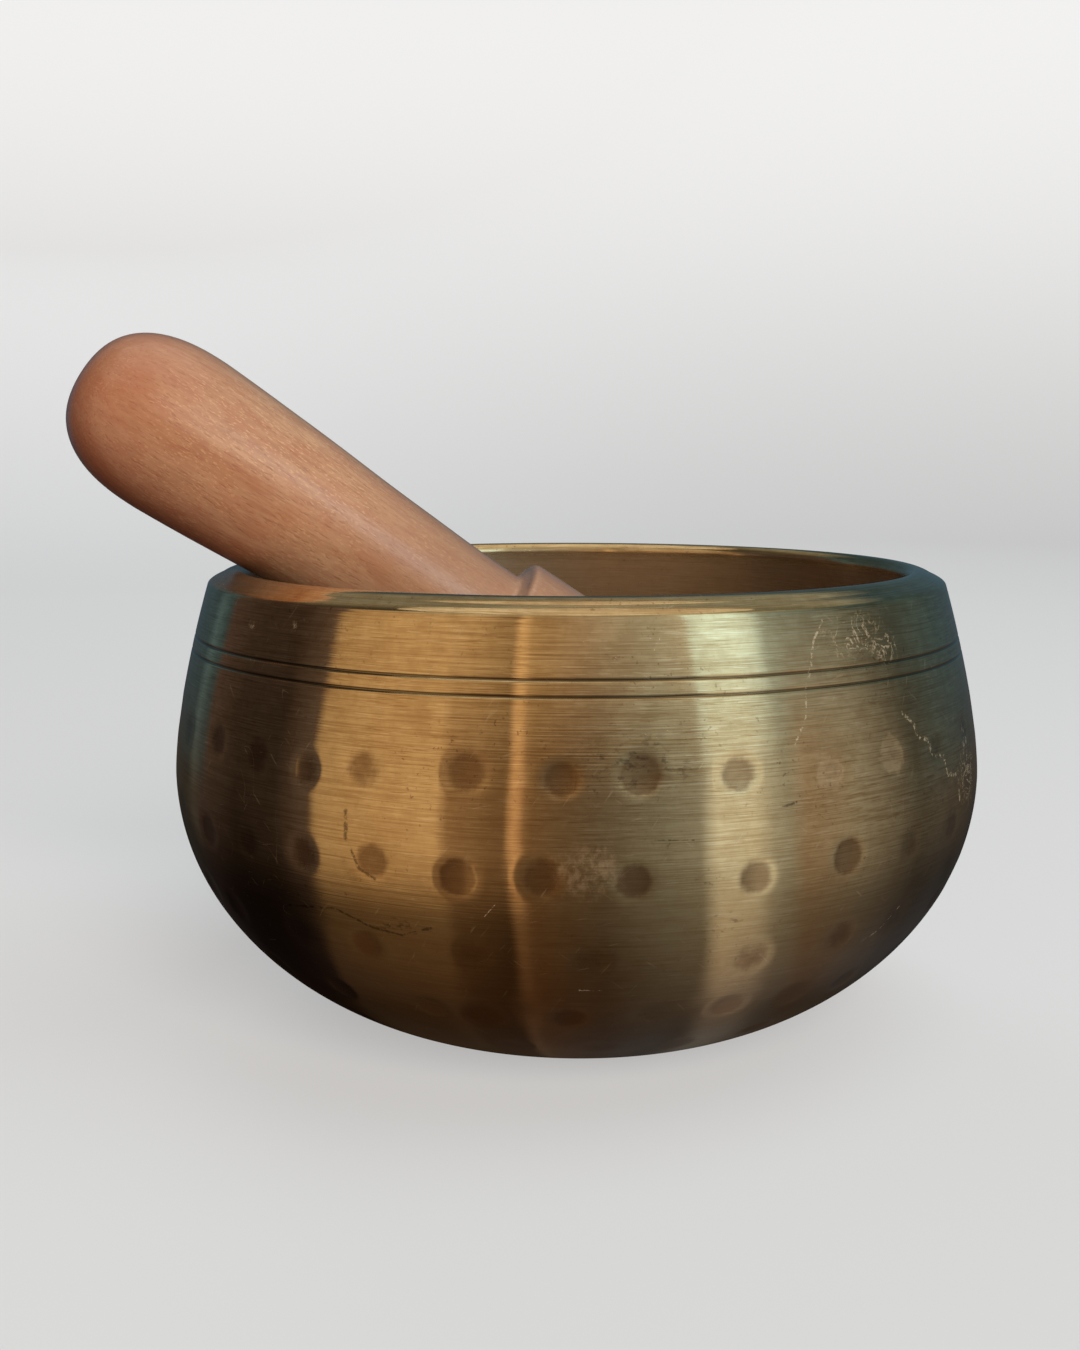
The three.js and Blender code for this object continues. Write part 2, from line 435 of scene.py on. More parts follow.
class Graph:
    """Short names for building a node tree."""

    def __init__(self, name):
        self.material = bpy.data.materials.new(name)
        self.material.use_nodes = True
        self.tree = self.material.node_tree
        self.shader = self.tree.nodes["Principled BSDF"]

    def add(self, kind, **settings):
        node = self.tree.nodes.new(kind)
        for key, value in settings.items():
            setattr(node, key, value)
        return node

    def put(self, value, socket):
        if isinstance(value, bpy.types.NodeSocket):
            self.tree.links.new(value, socket)
        elif value is not None:
            socket.default_value = value

    def math(self, operation, *values, clamp=False):
        node = self.add("ShaderNodeMath", operation=operation, use_clamp=clamp)
        for value, socket in zip(values, node.inputs):
            self.put(value, socket)
        return node.outputs[0]

    def times(self, *values):
        product = values[0]
        for value in values[1:]:
            product = self.math("MULTIPLY", product, value)
        return product

    def most(self, *values):
        largest = values[0]
        for value in values[1:]:
            largest = self.math("MAXIMUM", largest, value)
        return largest

    def away(self, value, centre):
        """Distance from a centre, without its sign."""
        return self.math("ABSOLUTE", self.math("SUBTRACT", value, centre))

    def vectors(self, operation, *values):
        node = self.add("ShaderNodeVectorMath", operation=operation)
        sockets = [node.inputs[0], node.inputs["Scale"]] if operation == "SCALE" else node.inputs
        for value, socket in zip(values, sockets):
            self.put(value, socket)
        return node.outputs["Value" if operation in ("DOT_PRODUCT", "LENGTH") else "Vector"]

    def vector(self, x, y, z):
        node = self.add("ShaderNodeCombineXYZ")
        for value, socket in zip((x, y, z), node.inputs):
            self.put(value, socket)
        return node.outputs[0]

    def split(self, value):
        node = self.add("ShaderNodeSeparateXYZ")
        self.put(value, node.inputs[0])
        return node.outputs

    def attribute(self, name):
        return self.add("ShaderNodeAttribute", attribute_name=name).outputs["Fac"]

    def noise(self, vector, scale, detail=3.0, roughness=0.5, distortion=0.0):
        node = self.add("ShaderNodeTexNoise")
        self.put(vector, node.inputs["Vector"])
        node.inputs["Scale"].default_value = scale
        node.inputs["Detail"].default_value = detail
        node.inputs["Roughness"].default_value = roughness
        node.inputs["Distortion"].default_value = distortion
        return node.outputs["Fac"]

    def ramp(self, value, low, high, to_low=0.0, to_high=1.0):
        node = self.add("ShaderNodeMapRange", interpolation_type="SMOOTHSTEP")
        self.put(value, node.inputs["Value"])
        for name, number in (("From Min", low), ("From Max", high), ("To Min", to_low), ("To Max", to_high)):
            node.inputs[name].default_value = number
        return node.outputs["Result"]

    def mix(self, factor, first, second):
        node = self.add("ShaderNodeMix", data_type="RGBA")
        self.put(factor, node.inputs[0])
        for value, socket in ((first, node.inputs[6]), (second, node.inputs[7])):
            if isinstance(value, tuple):
                value = (*value, 1.0)
            self.put(value, socket)
        return node.outputs[2]

    def bump(self, height, strength, distance):
        """Tilts the normals as if a height of 1 stood this many millimetres proud."""
        node = self.add("ShaderNodeBump")
        node.inputs["Strength"].default_value = strength
        node.inputs["Distance"].default_value = distance * MM
        self.put(height, node.inputs["Height"])
        self.put(node.outputs[0], self.shader.inputs["Normal"])

    def layer(self, colour, tint, *strengths):
        """A tint laid over a colour as strongly as the product of the strengths."""
        return self.mix(self.times(*strengths), colour, tint)


# ---------------------------------------------------------------- brass

BRASS_CLEAN = (0.66, 0.51, 0.27)
BRASS_WORN = (0.86, 0.72, 0.45)
BRASS_TARNISH_AND_SHADE = (0.36, 0.225, 0.095)
BRASS_INSIDE = (0.62, 0.42, 0.28)
BRASS_SOOT_AND_SHADE = (0.03, 0.018, 0.012)
BRASS_DARK = (0.135, 0.056, 0.022)
BRASS_RESIDUE = (0.52, 0.50, 0.42)
BRASS_SMUDGE = (0.34, 0.27, 0.25)
BRASS_ROUGHNESS = 0.035

# Painted shade towards the foot, in place of the dark reflection low on the belly: tint, height where it starts, height
# where it is full, strength
BRASS_FOOT_SHADE = ((BRASS_TARNISH_AND_SHADE, 46.0, 26.0, 0.5), (BRASS_DARK, 38.0, 18.0, 0.66), (BRASS_SOOT_AND_SHADE, 18.0, 6.0, 0.42))

CHALKY_DENTS = (37.0, 47.2)      # middle of the place where the dents are pale: degrees from the front, height
MALLET_SIDE = -72.0              # degrees from the front to where the mallet lies on the lip

# Marks of use on the outside, unrolled: degrees from the front, then height. A degree there is about a millimetre.
# A stroke is its half width and its points. A spot is its place, its half width in degrees and its half height.
DARK_STROKES = (
    (0.42, (-27.4, 41.8), (-27.3, 38.6)),
    (0.28, (-26.7, 37.6), (-25.7, 35.2), (-23.6, 34.0)),
    (0.22, (24.6, 43.1), (26.4, 43.4)),
    (0.22, (-38.0, 28.1), (-30.0, 29.2), (-25.0, 27.4), (-21.0, 26.9), (-17.0, 28.4)),
    (0.10, (9.0, 40.2), (13.5, 40.0)),
)
PALE_STROKES = (
    (0.22, (33.2, 64.4), (31.2, 61.9), (30.4, 59.3), (29.1, 56.4), (28.6, 53.2), (26.7, 50.2)),
    (0.14, (41.0, 22.5), (44.0, 23.5), (47.0, 26.3)),
    (0.14, (0.4, 20.4), (3.6, 20.3)),
    (0.10, (-8.6, 32.6), (-10.4, 30.4)),
    (0.34, (45.4, 52.0), (47.6, 50.4), (48.2, 48.6), (50.6, 48.0), (51.4, 45.8), (54.6, 45.2), (55.4, 42.6),
     (59.0, 42.0), (59.6, 38.4)),
)
DARK_SPOTS = ((7.0, 49.0, 9.0, 4.6), (-21.0, 28.0, 4.5, 1.8), (15.2, 35.4, 2.2, 1.4), (17.5, 29.0, 4.0, 2.0))
PALE_SPOTS = ((63.6, 45.5, 3.2, 3.8), (-48.8, 61.9, 1.9, 1.6), (-38.6, 63.3, 1.3, 1.9))
SMUDGES = ((1.6, 36.6, 4.6, 3.8),)
NICKS = ((55.0, 0.5), (-38.0, 3.7), (12.0, 8.1))     # short fine scratches: slant in degrees, seed
SMEARS = ((38.5, 62.2, 7.0, 3.2), (44.0, 60.4, 3.6, 2.6), (64.0, 41.0, 6.0, 5.0))


def brass_marks(g, place, turn, z, uneven, flat):
    """Masks of the marks of use: dark stains, pale scratches and residue, and soft pale smudges."""
    speckle = g.noise(place, 1.5, 4.0, 0.6)
    flakes = g.noise(place, 0.6, 8.0, 0.72, 0.2)

    def spots(places):
        masks = []
        for degrees, level, half_width, half_height in places:
            across = g.math("DIVIDE", g.math("SUBTRACT", turn, degrees), half_width)
            up = g.math("DIVIDE", g.math("SUBTRACT", z, level), half_height)
            reach = g.math("SQRT", g.math("ADD", g.times(across, across), g.times(up, up)))
            masks.append(g.ramp(g.math("ADD", reach, uneven), 1.0, 0.35))
        return g.most(*masks)

    def strokes(lines):
        unrolled = g.vector(turn, z, 0.0)
        masks = []
        for half_width, *points in lines:
            nearest = None
            for start, end in zip(points, points[1:]):
                span = Vector((end[0] - start[0], end[1] - start[1], 0))
                offset = g.vectors("SUBTRACT", unrolled, (*start, 0))
                part = g.math("DIVIDE", g.vectors("DOT_PRODUCT", offset, span), span.length_squared, clamp=True)
                away = g.vectors("SUBTRACT", offset, g.vectors("SCALE", tuple(span), part))
                distance = g.vectors("LENGTH", away)
                nearest = distance if nearest is None else g.math("MINIMUM", nearest, distance)
            ragged = g.math("ADD", nearest, g.times(uneven, half_width * 2.5))
            masks.append(g.ramp(ragged, half_width, half_width * 0.2))
        return g.most(*masks)

    stains = g.times(spots(DARK_SPOTS), g.ramp(flat, 0.52, 0.66, 0.0, 0.7))
    dark = g.most(stains, g.times(strokes(DARK_STROKES), g.ramp(speckle, 0.38, 0.52)))

    residue = g.times(spots(PALE_SPOTS), g.ramp(flakes, 0.52, 0.70))
    scratches = g.times(strokes(PALE_STROKES), g.ramp(g.noise(place, 2.2, 2.0, 0.6), 0.44, 0.62))
    curls = g.ramp(g.away(g.noise(place, 0.42, 3.0, 0.6, 1.2), 0.5), 0.045, 0.0)
    smears = g.times(spots(SMEARS), curls, g.ramp(speckle, 0.4, 0.55))
    hairs = g.ramp(g.away(g.noise(place, 0.10, 1.0, 0.5, 0.2), 0.5), 0.0022, 0.0)
    hairs = g.times(hairs, g.ramp(g.noise(place, 0.16, 2.0, 0.5), 0.52, 0.62))
    pale = g.most(residue, scratches, smears, g.times(hairs, 0.18))
    arc = g.times(turn, math.radians(BELLY_RADIUS))
    for slant, seed in NICKS:
        lean = math.radians(slant)
        over = g.math("ADD", g.times(arc, math.sin(lean)), g.times(z, -math.cos(lean)))
        down = g.math("ADD", g.times(arc, math.cos(lean)), g.times(z, math.sin(lean)))
        nick = g.noise(g.vector(g.times(over, 3.0), g.times(down, 0.22), seed), 1.0, 2.0, 0.5)
        pale = g.most(pale, g.times(g.ramp(nick, 0.70, 0.78), 0.22))

    smudge = g.times(spots(SMUDGES), g.ramp(flakes, 0.40, 0.62), 0.22)
    return dark, pale, smudge


def brass_material():
    g = Graph("brass_turned")
    place = g.vectors("SCALE", g.add("ShaderNodeTexCoord").outputs["Object"], 1 / MM)
    x, y, z = g.split(place)
    along = g.attribute("along")
    dent = g.attribute("dent")
    groove = g.attribute("groove")
    inside = g.attribute("inside")
    outside = g.math("SUBTRACT", 1.0, inside)
    turn = g.math("DEGREES", g.math("ARCTAN2", x, g.times(y, -1.0)))
    uneven = g.math("SUBTRACT", g.noise(place, 0.9, 3.0, 0.6), 0.5)

    # Lathe lines run round the bowl: fine along its outline, long round its axis.
    def lines(fine, long, detail, roughness):
        return g.noise(g.vector(g.times(x, long), g.times(y, long), g.times(along, fine)), 1.0, detail, roughness)

    fine = lines(9.0, 0.08, 2.0, 0.6)
    broken = lines(4.6, 0.22, 2.0, 0.6)
    brushed = g.math("ADD", g.times(lines(3.9, 0.05, 3.0, 0.72), 0.55), g.times(fine, 0.45))

    # Tarnish: broad clouds, streaks along the lathe lines and small specks. Then painted shade darkens the foot.
    clouds = g.noise(place, 0.055, 5.0, 0.6, 0.6)
    mottle = g.noise(place, 0.42, 6.0, 0.65, 0.3)
    dull = g.ramp(g.math("ADD", g.times(clouds, 0.55), g.times(mottle, 0.45)), 0.36, 0.66)
    patches = g.ramp(g.noise(place, 0.06, 2.0, 0.5), 0.42, 0.6)
    specks = g.ramp(g.noise(place, 1.5, 3.0, 0.6), 0.61, 0.73)
    speck_field = g.ramp(g.noise(place, 0.075, 2.0, 0.5), 0.42, 0.64)
    colour = g.mix(g.times(dull, 0.55), BRASS_CLEAN, BRASS_TARNISH_AND_SHADE)
    colour = g.layer(colour, BRASS_TARNISH_AND_SHADE, g.ramp(brushed, 0.47, 0.58), 0.52)
    colour = g.layer(colour, BRASS_TARNISH_AND_SHADE, g.ramp(broken, 0.57, 0.66), g.math("ADD", g.times(patches, 0.6), 0.15))
    colour = g.layer(colour, BRASS_WORN, g.ramp(broken, 0.42, 0.33), 0.35)
    colour = g.layer(colour, BRASS_DARK, specks, speck_field, 0.62)
    # Painted shade: the colour darkens towards the foot, in place of the dark reflection there.
    for tint, top, bottom, strength in BRASS_FOOT_SHADE:
        colour = g.layer(colour, tint, g.ramp(z, top, bottom), strength)

    # Dents, grooves and the inside
    hollow = g.ramp(g.math("ADD", dent, g.times(uneven, 0.5)), 0.08, 0.62)
    colour = g.layer(colour, BRASS_DARK, hollow, 0.58)
    colour = g.layer(colour, BRASS_SOOT_AND_SHADE, g.ramp(groove, 0.05, 0.6), 0.66)
    colour = g.layer(colour, BRASS_INSIDE, inside, 0.5)

    # Marks of use, and painted shade on the lip where the mallet lies over it
    flat = g.noise(g.vector(g.times(x, 0.9), g.times(y, 0.9), g.times(z, 1.4)), 1.0, 3.0, 0.6)
    dark, pale, smudge = brass_marks(g, place, turn, z, uneven, flat)
    pale = g.times(pale, 0.5, outside)
    colour = g.layer(colour, BRASS_SOOT_AND_SHADE, dark, 0.62, outside)
    colour = g.mix(pale, colour, BRASS_RESIDUE)
    degrees, level = CHALKY_DENTS
    chalky = g.ramp(g.math("ADD", dent, g.times(uneven, 0.35)), 0.03, 0.15)
    chalky = g.times(chalky, g.ramp(g.away(turn, degrees), 12.0, 9.0), g.ramp(g.away(z, level), 5.0, 4.2))
    smudge = g.most(g.times(smudge, outside), g.times(chalky, 0.13))
    colour = g.mix(smudge, colour, BRASS_SMUDGE)
    # Painted shade where the mallet lies over the lip: darker colour, more roughness and less metal, which dull the
    # mallet's reflection there.
    mallet_shade = g.times(g.ramp(g.away(turn, MALLET_SIDE), 34.0, 16.0), g.ramp(z, 60.0, 63.0))
    mallet_shade = g.times(mallet_shade, g.most(g.ramp(inside, 0.0, 0.6), g.ramp(z, 65.7, 66.4)))
    colour = g.layer(colour, BRASS_DARK, mallet_shade, 0.75)
    # Less metallic for dust, scratches, residue and smudges, a little inside, and in the painted shade under the
    # mallet.
    dust_and_shade = g.most(g.times(pale, 0.9), g.times(inside, 0.1), g.times(mallet_shade, 0.3), smudge)
    g.put(colour, g.shader.inputs["Base Color"])
    g.put(g.math("SUBTRACT", 1.0, dust_and_shade), g.shader.inputs["Metallic"])

    rough = BRASS_ROUGHNESS
    for mask, share in ((dull, 0.06), (fine, 0.06), (hollow, 0.13), (pale, 0.5), (mallet_shade, 0.2), (inside, 0.3)):
        rough = g.math("ADD", g.times(mask, share), rough)
    g.put(rough, g.shader.inputs["Roughness"])
    g.shader.inputs["Anisotropic"].default_value = 1.0
    g.shader.inputs["Anisotropic Rotation"].default_value = 0.25
    tangent = g.add("ShaderNodeTangent", direction_type="RADIAL", axis="Z")
    g.put(tangent.outputs[0], g.shader.inputs["Tangent"])
    g.bump(lines(3.6, 0.02, 1.5, 0.5), 1.0, 0.02)
    return g.material


# ---------------------------------------------------------------- wood

WOOD_NECK_SHADE = (0.26, 0.145, 0.088)
WOOD_LIGHT = (0.46, 0.262, 0.148)
WOOD_MID = (0.37, 0.178, 0.088)
WOOD_RED = (0.30, 0.092, 0.042)
WOOD_DARK = (0.21, 0.078, 0.040)
WOOD_FLECK = (0.62, 0.36, 0.19)


def wood_material():
    g = Graph("wood_turned")
    place = g.add("ShaderNodeAttribute", attribute_name="own_place").outputs["Vector"]
    x, y, z = g.split(place)

    def grain(across, along, detail, roughness, distortion=0.0):
        spot = g.vector(g.times(x, across), g.times(y, across), g.times(z, along))
        return g.noise(spot, 1.0, detail, roughness, distortion)

    bands = grain(0.2, 0.03, 4.0, 0.6, 0.6)
    fibres = grain(1.9, 0.12, 3.0, 0.6)
    pores = g.ramp(grain(3.6, 0.62, 2.0, 0.5), 0.58, 0.68)
    flecks = g.ramp(grain(4.4, 1.3, 2.0, 0.5), 0.55, 0.67)
    blotches = g.ramp(grain(0.34, 0.16, 5.0, 0.65, 0.8), 0.42, 0.68)
    fleck_field = g.ramp(g.noise(place, 0.07, 2.0, 0.5), 0.34, 0.52)
    colour = g.mix(g.ramp(bands, 0.25, 0.75), WOOD_LIGHT, WOOD_MID)
    colour = g.layer(colour, WOOD_DARK, g.ramp(fibres, 0.35, 0.70), 0.36)
    colour = g.layer(colour, WOOD_DARK, pores, 0.36)
    colour = g.layer(colour, WOOD_RED, blotches, 0.38)
    colour = g.layer(colour, WOOD_FLECK, flecks, fleck_field, 0.45)
    colour = g.layer(colour, WOOD_RED, g.ramp(z, HEAD_LENGTH - 26, HEAD_LENGTH + 1), 0.6)
    # Painted shade: the wood darkens towards the neck, set for how the light falls there.
    colour = g.layer(colour, WOOD_NECK_SHADE, g.ramp(z, 34.0, 4.0), 0.6)
    g.put(colour, g.shader.inputs["Base Color"])

    rough = g.math("ADD", g.times(fibres, 0.18), g.times(pores, 0.12))
    g.put(g.math("ADD", rough, 0.38), g.shader.inputs["Roughness"])
    g.shader.inputs["Coat Weight"].default_value = 1.0
    g.shader.inputs["Coat Roughness"].default_value = 0.2

    turned = g.noise(g.vector(0.0, 0.0, z), 2.2, 4.0, 0.6)
    height = g.math("ADD", g.times(pores, -0.8), g.times(fibres, 0.5))
    g.bump(g.math("ADD", height, g.times(turned, 0.35)), 0.5, 0.06)
    return g.material


# ---------------------------------------------------------------- stage: floor, lights, camera

CENTRE = Vector((0, 0, 0.04))

STAGE_RADIUS = 1.2               # flat part of the floor, in metres like the rest of the stage
STAGE_CURVE = 0.5                # radius of the curve that leads up into the wall
STAGE_HEIGHT = 1.8
AROUND_STAGE = 96
STAGE_GREY = (0.26, 0.26, 0.26, 1)
STAGE_GLOW = ((0.38, 0.38, 0.38), (0.76, 0.76, 0.76))    # low down, and high up
STAGE_GLOW_HEIGHTS = (-0.2, 0.6)


def make_stage():
    """A pale floor that curves up into a pale wall all round, far from the bowl."""
    outline = [(STAGE_RADIUS, 0.0)]
    for i in range(1, 13):
        turn = math.radians(90 * i / 12)
        outline.append((STAGE_RADIUS + STAGE_CURVE * math.sin(turn), STAGE_CURVE * (1 - math.cos(turn))))
    outline.append((STAGE_RADIUS + STAGE_CURVE, STAGE_HEIGHT))
    vertices = [(0, 0, 0)]
    for radius, height in outline:
        for i in range(AROUND_STAGE):
            turn = 2 * math.pi * i / AROUND_STAGE
            vertices.append((radius * math.cos(turn), radius * math.sin(turn), height))
    faces = [(0, 1 + i, 1 + (i + 1) % AROUND_STAGE) for i in range(AROUND_STAGE)]
    for ring in range(len(outline) - 1):
        a = 1 + ring * AROUND_STAGE
        b = a + AROUND_STAGE
        for i in range(AROUND_STAGE):
            k = (i + 1) % AROUND_STAGE
            faces.append((a + i, b + i, b + k, a + k))
    mesh = bpy.data.meshes.new("floor")
    mesh.from_pydata(vertices, [], faces)
    mesh.shade_smooth()
    floor = bpy.data.objects.new("floor", mesh)
    bpy.context.scene.collection.objects.link(floor)
    g = Graph("floor_pale")
    g.shader.inputs["Base Color"].default_value = STAGE_GREY
    g.shader.inputs["Roughness"].default_value = 0.9
    level = g.split(g.add("ShaderNodeTexCoord").outputs["Object"])[2]
    g.put(g.mix(g.ramp(level, *STAGE_GLOW_HEIGHTS), *STAGE_GLOW), g.shader.inputs["Emission Color"])
    g.shader.inputs["Emission Strength"].default_value = 1.0
    g.material.cycles.emission_sampling = "NONE"
    floor.data.materials.append(g.material)
    floor.visible_glossy = False
    floor.visible_diffuse = False
    floor.visible_shadow = False


# Soft round lamps: name, place in metres, diameter, power, colour, and whether it only makes sheen
LAMPS = (
    ("overhead", (0.55, -0.2, 1.4), 1.3, 10, (0.80, 1.0, 1.1), False),
    ("overhead_sheen", (0.25, 0.15, 1.5), 2.4, 12, (1.0, 0.9, 0.78), True),
    ("back", (-0.5, 1.3, 0.8), 0.9, 6, (0.9, 0.96, 1.0), False),
    ("bounce", (-0.5, -0.6, -0.35), 0.6, 0.8, (1.0, 0.38, 0.34), False),
    ("front", (0.45, -1.4, 0.76), 0.9, 31, (1.0, 0.91, 0.81), False),
)
WORLD_COLOUR = (1.0, 0.66, 0.58, 1)
WORLD_STRENGTH = 0.055


def lamp(name, place, size, power, colour, sheen):
    """A soft round light that faces the bowl. One for sheen shows only in reflections, and the others never do."""
    data = bpy.data.lights.new(name, "AREA")
    data.shape = "DISK"
    data.size = size
    data.energy = power
    data.color = colour
    light = bpy.data.objects.new(name, data)
    bpy.context.scene.collection.objects.link(light)
    light.location = place
    light.rotation_euler = (CENTRE - light.location).to_track_quat("-Z", "Y").to_euler()
    light.visible_camera = False
    light.visible_glossy = sheen
    light.visible_diffuse = not sheen


# The light tent that the metal reflects: tints, then columns from the back round the left, front and right.
# Each column is (degrees from the front, lower tint, lower level, upper tint, upper level, top level, and how much
# of the lower level goes on below).
TEAL = (0.52, 0.93, 1.22)
HAZE = (0.92, 0.90, 0.90)
SHADE = (1.0, 0.88, 0.74)
BROWN = (1.0, 0.72, 0.68)
GOLD = (1.0, 0.70, 0.44)
AMBER = (1.0, 0.64, 0.40)
STRAW = (1.0, 0.75, 0.58)
OLIVE = (1.0, 0.84, 0.74)
PALE = (0.93, 0.98, 1.02)
DAY = (0.60, 0.83, 1.02)
TENT = (
    (-180, SHADE, 0.05, TEAL, 0.10, 0.32, 0.5),
    (-132, SHADE, 0.04, TEAL, 0.10, 0.30, 0.5),
    (-127, SHADE, 0.08, TEAL, 0.18, 0.24, 0.5),
    (-121, BROWN, 0.06, TEAL, 0.11, 0.15, 0.5),
    (-117, BROWN, 0.06, BROWN, 0.10, 0.15, 0.5),
    (-100, BROWN, 0.03, BROWN, 0.08, 0.10, 0.5),
    (-84, BROWN, 0.04, BROWN, 0.08, 0.10, 0.5),
    (-72, BROWN, 0.13, BROWN, 0.18, 0.14, 0.5),
    (-69.5, GOLD, 0.56, GOLD, 0.66, 0.50, 0.42),
    (-52, GOLD, 0.76, GOLD, 0.77, 0.56, 0.46),
    (-35, GOLD, 0.78, GOLD, 0.75, 0.60, 0.5),
    (-32, AMBER, 0.42, GOLD, 0.76, 0.60, 0.6),
    (-17.0, AMBER, 0.24, GOLD, 0.48, 0.45, 0.6),
    (-15.2, AMBER, 0.86, GOLD, 0.94, 0.50, 0.54),
    (-13.6, AMBER, 0.86, GOLD, 0.94, 0.50, 0.54),
    (-12.0, AMBER, 0.38, GOLD, 0.66, 0.50, 0.9),
    (-10.0, AMBER, 0.26, GOLD, 0.60, 0.50, 1.2),
    (-1, STRAW, 0.21, STRAW, 0.57, 0.50, 1.2),
    (6, OLIVE, 0.19, OLIVE, 0.55, 0.50, 1.2),
    (22, PALE, 0.31, PALE, 0.71, 0.60, 1.4),
    (31.5, PALE, 0.40, PALE, 0.90, 0.60, 1.3),
    (33, PALE, 0.62, DAY, 2.00, 0.80, 1.6),
    (36, PALE, 0.98, DAY, 2.10, 1.00, 1.7),
    (45, PALE, 1.02, DAY, 2.05, 1.00, 1.4),
    (51, PALE, 0.58, DAY, 1.80, 0.85, 1.2),
    (55, PALE, 0.48, DAY, 0.84, 0.80, 1.2),
    (61, OLIVE, 0.45, DAY, 0.56, 0.66, 1.0),
    (78, HAZE, 0.42, DAY, 0.35, 0.45, 0.8),
    (90, HAZE, 0.24, TEAL, 0.15, 0.35, 0.8),
    (100, HAZE, 0.13, TEAL, 0.14, 0.30, 0.8),
    (112, HAZE, 0.13, TEAL, 0.15, 0.30, 0.7),
    (126, SHADE, 0.09, TEAL, 0.13, 0.38, 0.5),
    (140, SHADE, 0.06, TEAL, 0.12, 0.42, 0.5),
    (165, SHADE, 0.06, TEAL, 0.12, 0.40, 0.5),
    (180, SHADE, 0.05, TEAL, 0.10, 0.32, 0.5),
)
TENT_RADIUS = 0.7
TENT_FLOOR = -0.65
TENT_FLOOR_RINGS = np.arange(0.66, 0.0, -0.04)
TENT_SIDES = (88, 120)           # degrees from the front over which the middle rows turn from low tint to high
SIGHT_DIP = math.radians(8.6)
SIGHT = np.array([0.0, math.cos(SIGHT_DIP), -math.sin(SIGHT_DIP)])    # the reference line of sight

# Upper rows of the tent: height, then the share of lower, middle, upper and top levels.
TENT_ROWS = (
    (1.3, 0, 0, 0, 0.8),
    (0.7, 0, 0, 0, 1),
    (0.5, 0, 0, 0.9, 0),
    (0.36, 0, 0, 1, 0),
    (0.1, 0, 1, 0, 0),
    (0.0, 0.4, 0.6, 0, 0),
)
TENT_DROPS = (-0.08, -0.16, -0.24, -0.32, -0.42, -0.53, TENT_FLOOR)
# Below that the levels follow the overhang, in degrees, of the wall that mirrors that part of the tent:
# overhang, then the share of the lower and lowest levels.
OVERHANGS = (
    (0, 1, 0),
    (3, 1, 0),
    (9, 0.86, 0),
    (18, 0, 0.6),
    (45, 0, 0.54),
    (60, 0, 0.46),
    (72, 0, 0.25),
    (82, 0, 0.1),
)
BAND_SHIFT = ((5, 0), (20, 1.8), (60, 3.8))       # overhang, then how far the bands lean round, in degrees
FLOOR_EVENING = ((35, 0), (60, 0.45), (80, 1))    # overhang, then how far the bands give way to an even glow
FLOOR_GLOW = (0.16, 0.10, 0.065)
# Well under the belly the glow falls off and warms towards the sides: degrees from the front, and degrees of overhang.
SIDE_FALL = ((0, 0), (6, 0), (25, 0.56), (60, 0.70))
SIDE_FALL_BELOW = ((32, 0), (45, 1))
SIDE_WARMTH = (1.0, 1.1, 1.22)
TOP_TINTS = ((-180, (1.0, 0.9, 0.74)), (5, (1.0, 0.9, 0.74)), (35, (0.92, 0.98, 0.9)), (180, (0.92, 0.98, 0.9)))


def tent_column(azimuths, values, at):
    return np.stack([np.interp(at, azimuths, values[:, i], period=360) for i in range(3)], axis=-1)


def mirrored_below(places):
    """For places low on the tent, in degrees: the column that keeps its reflection upright on the belly, the overhang
    of the wall that mirrors the place, and how far round the bowl that wall is."""
    towards = places - np.array(CENTRE)
    towards /= np.linalg.norm(towards, axis=1)[:, None]
    normal = towards - SIGHT
    normal /= np.linalg.norm(normal, axis=1)[:, None]
    turn = np.arctan2(normal[:, 0], -normal[:, 1])
    overhang = np.clip(np.arcsin(-normal[:, 2]), 0, None)
    ring = FOOT_RADIUS + (BELLY_RADIUS - FOOT_RADIUS) * np.cos(overhang)
    column = 2 * np.degrees(np.arcsin(np.clip(ring / BELLY_RADIUS * np.sin(turn), -1, 1)))
    return column, np.degrees(overhang), np.degrees(turn)


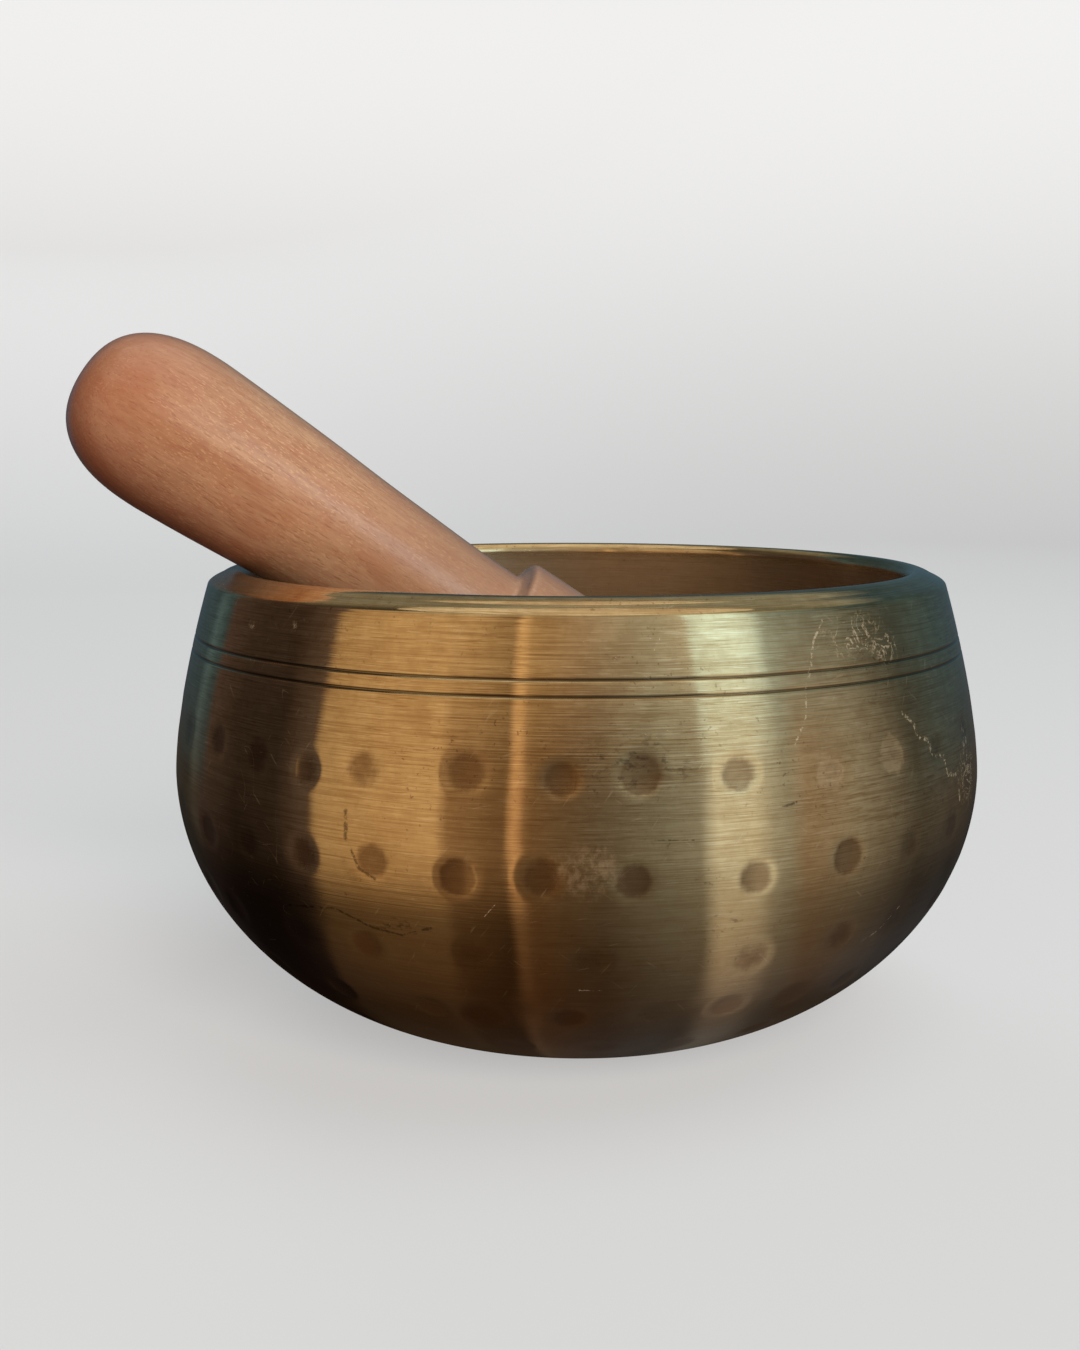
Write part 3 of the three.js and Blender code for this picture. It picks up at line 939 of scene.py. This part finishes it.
def make_tent():
    """A glowing round wall and floor that are seen only in reflections."""
    degrees = np.arange(-180, 180, 1.0)
    turn = np.radians(degrees)
    azimuths = [column[0] for column in TENT]
    low = np.array([np.array(column[1]) * column[2] for column in TENT])
    high = np.array([np.array(column[3]) * column[4] for column in TENT])
    sideways = np.interp(np.abs(azimuths), TENT_SIDES, (0, 1))[:, None]
    middle = low * (1 - sideways) + high * sideways
    lowest = low * np.array([[column[6]] for column in TENT])
    tint_at, tints = zip(*TOP_TINTS)
    tints = np.stack([np.interp(azimuths, tint_at, part) for part in zip(*tints)], axis=-1)
    top = tints * np.array([[column[5]] for column in TENT])
    vertices, colours, faces = [], [], []

    def add_ring(radius, height, glow=None):
        ring = np.stack([radius * np.sin(turn), -radius * np.cos(turn), np.full(turn.shape, height)], axis=-1)
        colours.extend((*colour, 1) for colour in (glow_below(ring) if glow is None else glow))
        vertices.extend(ring.tolist())

    def glow_below(ring):
        column, overhang, sideways = mirrored_below(ring)
        at = column - np.interp(overhang, *zip(*BAND_SHIFT))
        steps, *shares = zip(*OVERHANGS)
        lower_share, lowest_share = (np.interp(overhang, steps, share)[:, None] for share in shares)
        bands = lower_share * tent_column(azimuths, low, at) + lowest_share * tent_column(azimuths, lowest, at)
        even = np.interp(overhang, *zip(*FLOOR_EVENING))[:, None]
        glow_here = bands * (1 - even) + even * (lower_share + lowest_share) * np.array(FLOOR_GLOW)
        fall = np.interp(np.abs(sideways), *zip(*SIDE_FALL)) * np.interp(overhang, *zip(*SIDE_FALL_BELOW))
        return glow_here * (1 - fall[:, None] * np.array(SIDE_WARMTH))

    for height, *parts in TENT_ROWS:
        table = sum(part * level for part, level in zip(parts, (low, middle, high, top)))
        add_ring(TENT_RADIUS, height, tent_column(azimuths, table, degrees))
    for height in TENT_DROPS:
        add_ring(TENT_RADIUS, height)
    for radius in TENT_FLOOR_RINGS:
        add_ring(radius, TENT_FLOOR)
    count = len(degrees)
    for row in range(len(vertices) // count - 1):
        for i in range(count):
            a, b = row * count + i, row * count + (i + 1) % count
            faces.append((a, b, b + count, a + count))
    faces.append(tuple(range(len(vertices) - count, len(vertices))))
    mesh = bpy.data.meshes.new("light_tent")
    mesh.from_pydata(vertices, [], faces)
    glow = mesh.attributes.new("glow", "FLOAT_COLOR", "POINT")
    glow.data.foreach_set("color", np.array(colours, np.float32).ravel())
    tent = bpy.data.objects.new("light_tent", mesh)
    bpy.context.scene.collection.objects.link(tent)
    g = Graph("light_tent")
    emission = g.add("ShaderNodeEmission")
    g.put(g.add("ShaderNodeAttribute", attribute_name="glow").outputs["Color"], emission.inputs["Color"])
    g.put(emission.outputs[0], g.tree.nodes["Material Output"].inputs["Surface"])
    g.material.cycles.emission_sampling = "NONE"
    mesh.materials.append(g.material)
    tent.visible_camera = False
    tent.visible_diffuse = False
    tent.visible_shadow = False
    tent.visible_transmission = False


def make_lights():
    world = bpy.data.worlds.new("studio")
    bpy.context.scene.world = world
    world.use_nodes = True
    background = world.node_tree.nodes["Background"]
    background.inputs["Color"].default_value = WORLD_COLOUR
    background.inputs["Strength"].default_value = WORLD_STRENGTH
    for settings in LAMPS:
        lamp(*settings)


LENS = 40.4                      # focal length in millimetres
SENSOR_WIDTH = 36
NEAREST = 0.01
CAMERA_PLACE = (0, -0.230, 0.0853)
CAMERA_DIP = 8.58                # degrees below the horizontal
CAMERA_TURN = 1.32               # degrees to the left of straight ahead


def make_camera():
    data = bpy.data.cameras.new("camera")
    data.sensor_width = SENSOR_WIDTH
    data.lens = LENS
    data.clip_start = NEAREST
    camera = bpy.data.objects.new("camera", data)
    bpy.context.scene.collection.objects.link(camera)
    camera.location = CAMERA_PLACE
    camera.rotation_euler = (math.radians(90 - CAMERA_DIP), 0, math.radians(CAMERA_TURN))
    bpy.context.scene.camera = camera


# ---------------------------------------------------------------- put together

make_camera()

bowl = make_bowl()
bowl.data.materials.append(brass_material())
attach(bowl, "bowl")
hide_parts("bowl")

mallet = make_mallet()
mallet.data.materials.append(wood_material())
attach(mallet, "mallet")
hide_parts("mallet")

make_stage()
make_tent()
make_lights()
bpy.context.scene.view_settings.view_transform = "Standard"
